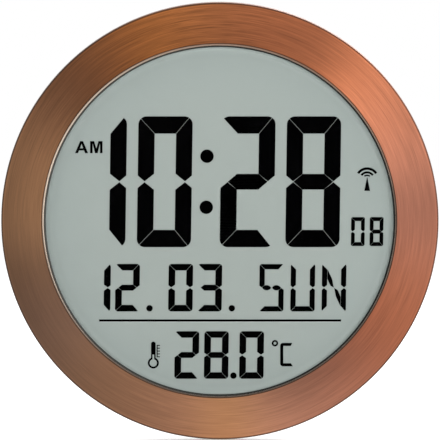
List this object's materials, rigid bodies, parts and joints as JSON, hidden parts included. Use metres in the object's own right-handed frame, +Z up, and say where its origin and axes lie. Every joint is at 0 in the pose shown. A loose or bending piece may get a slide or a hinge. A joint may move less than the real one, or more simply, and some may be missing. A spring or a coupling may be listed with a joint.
{
  "type": "digital radio-controlled wall clock",
  "caption": "Round wall clock with a wide brushed copper ring and a grey liquid crystal display of time, date, weekday and temperature, with a keyhole hanger at the back.",
  "frame": {"origin": "middle of the round top of the hanging slot, in the plane of the wall, where the wall screw's shank bears", "axes": "+Z up, +Y into the wall, +X to the right of someone facing the display, which faces -Y"},
  "size_m": [0.26, 0.0273, 0.26],
  "materials": {
    "copper_ring": "spun sheet brushed in circles and tinted copper",
    "foam_tape": "matte adhesive foam",
    "clear_window": "clear, low glare",
    "gasket_foam": "black closed-cell foam",
    "frame_plastic": "fine texture",
    "polariser_film": "matt film",
    "display_glass": "clear",
    "seal_resin": "cured resin",
    "dark_crystal": "black",
    "grey_reflector": "satin grey-green film",
    "white_foam": "open foam",
    "carrier_plastic": "moulded",
    "screw_steel": "bright zinc",
    "zebra_rubber": "layered",
    "board_laminate": "green solder mask",
    "chip_resin": "black drop of resin",
    "bright_can": "drawn can",
    "capacitor_can": "sleeved can",
    "switch_plastic": "moulded",
    "plunger_plastic": "moulded",
    "ferrite": "ground dark grey",
    "coil_wire": "enamelled copper wire",
    "sensor_bead": "dipped bead",
    "thin_wire": "insulated",
    "red_wire": "insulated",
    "black_wire": "insulated",
    "case_plastic": "fine spark texture",
    "cell_sleeve": "printed sleeve",
    "contact_steel": "nickel plated",
    "key_plastic": "satin",
    "plate_steel": "zinc plated"
  },
  "bodies": {
    "housing": {"bezel_ring": "copper_ring", "bezel_tape": "foam_tape", "window_lens": "clear_window", "window_gasket": "gasket_foam", "front_frame": "frame_plastic", "lcd_front_polariser": "polariser_film", "lcd_front_glass": "display_glass", "lcd_rear_glass": "display_glass", "lcd_edge_seal": "seal_resin", "time_digits": "dark_crystal", "seconds_digits": "dark_crystal", "date_digits": "dark_crystal", "weekday_letters": "dark_crystal", "temperature_digits": "dark_crystal", "display_symbols": "dark_crystal", "lcd_rear_reflector": "grey_reflector", "lcd_foam_pad": "white_foam", "display_carrier": "carrier_plastic", "antenna_holders": "carrier_plastic", "carrier_screws": "screw_steel", "board_screws": "screw_steel", "case_screws": "screw_steel", "hanger_screws": "screw_steel", "zebra_strip": "zebra_rubber", "main_board": "board_laminate", "receiver_board": "board_laminate", "clock_chip": "chip_resin", "receiver_chip": "chip_resin", "board_resistors": "chip_resin", "crystal_can": "bright_can", "board_capacitors": "capacitor_can", "tact_switches": "switch_plastic", "ferrite_rod": "ferrite", "antenna_coil": "coil_wire", "temperature_sensor": "sensor_bead", "sensor_leads": "thin_wire", "receiver_leads": "thin_wire", "battery_wire_red": "red_wire", "battery_wire_black": "black_wire", "rear_case": "case_plastic", "battery_cell_upper": "cell_sleeve", "battery_cell_lower": "cell_sleeve", "contact_positive": "contact_steel", "contact_negative_spring": "contact_steel", "contact_bridge": "contact_steel", "hanger_plate": "plate_steel"},
    "door": {"battery_door": "case_plastic"},
    "key_set": {"button_set": "key_plastic", "plunger_set": "plunger_plastic"},
    "key_up": {"button_up": "key_plastic", "plunger_up": "plunger_plastic"},
    "key_down": {"button_down": "key_plastic", "plunger_down": "plunger_plastic"},
    "key_wave": {"button_wave": "key_plastic", "plunger_wave": "plunger_plastic"},
    "key_reset": {"button_reset": "key_plastic", "plunger_reset": "plunger_plastic"}
  },
  "joints": [
    {"name": "battery_door_hinge", "type": "hinge", "parent": "housing", "child": "door", "pos_m": [0, -0.0022, -0.0702], "axis": [1, 0, 0], "range_deg": [0, 100]},
    {"name": "key_set_press", "type": "slide", "parent": "housing", "child": "key_set", "axis": [0, -1, 0], "range_m": [0, 0.0005], "stiffness_N_per_m": 1000, "springref_m": -0.0003},
    {"name": "key_up_press", "type": "slide", "parent": "housing", "child": "key_up", "axis": [0, -1, 0], "range_m": [0, 0.0005], "stiffness_N_per_m": 1000, "springref_m": -0.0003},
    {"name": "key_down_press", "type": "slide", "parent": "housing", "child": "key_down", "axis": [0, -1, 0], "range_m": [0, 0.0005], "stiffness_N_per_m": 1000, "springref_m": -0.0003},
    {"name": "key_wave_press", "type": "slide", "parent": "housing", "child": "key_wave", "axis": [0, -1, 0], "range_m": [0, 0.0005], "stiffness_N_per_m": 1000, "springref_m": -0.0003},
    {"name": "key_reset_press", "type": "slide", "parent": "housing", "child": "key_reset", "axis": [0, -1, 0], "range_m": [0, 0.0005], "stiffness_N_per_m": 1000, "springref_m": -0.0003}
  ]
}
